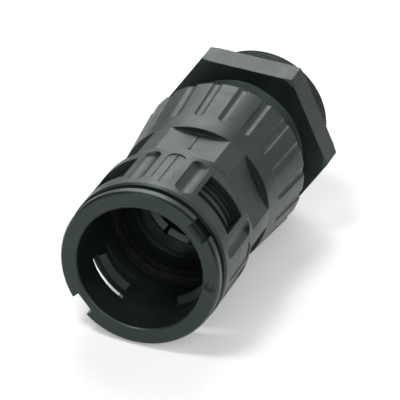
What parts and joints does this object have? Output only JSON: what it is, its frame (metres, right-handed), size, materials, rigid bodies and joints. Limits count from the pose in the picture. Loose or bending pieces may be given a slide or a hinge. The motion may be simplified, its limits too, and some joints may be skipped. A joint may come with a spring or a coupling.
{
  "type": "liquidtight conduit connector",
  "caption": "Straight liquidtight connector: corrugated conduit snaps into a windowed mouth with a locking ring, and a hexagon body with a metric thread screws into an enclosure.",
  "frame": {"origin": "on the bore axis, in the plane of the hexagon's rear face, which seats on the enclosure wall", "axes": "+Y along the bore from the conduit mouth to the connection thread; +Z square to the upper hexagon flat; the conduit enters from -Y"},
  "size_m": [0.0532, 0.105, 0.0476],
  "materials": {
    "body_plastic": "moulded polyamide, satin, black",
    "o_ring_rubber": "smooth black rubber",
    "cage_plastic": "moulded polyamide, satin, grey",
    "seal_rubber": "soft matt black rubber",
    "housing_plastic": "moulded polyamide, satin, black",
    "conduit_seal_rubber": "soft matt black rubber",
    "ring_plastic": "moulded polyamide, satin, black"
  },
  "bodies": {
    "gland": {"gland_body": "body_plastic", "enclosure_o_ring": "o_ring_rubber"},
    "clamp": {"clamping_cage": "cage_plastic", "cable_seal": "seal_rubber"},
    "housing": {"conduit_housing": "housing_plastic", "conduit_seal": "conduit_seal_rubber"},
    "ring": {"locking_ring": "ring_plastic"}
  },
  "joints": [
    {"name": "nut_advance", "type": "slide", "parent": "gland", "child": "clamp", "axis": [0, -1, 0], "range_m": [0, 0.009]},
    {"name": "nut_turn", "type": "hinge", "parent": "clamp", "child": "housing", "pos_m": [0, 0, 0], "axis": [0, -1, 0], "range_deg": [0, 2160]},
    {"name": "ring_slide", "type": "slide", "parent": "housing", "child": "ring", "axis": [0, -1, 0], "range_m": [-0.001, 0.0035]}
  ],
  "couplings": [
    {"joint": "nut_advance", "follows": "nut_turn", "m_per_rad": 0.00023873}
  ]
}
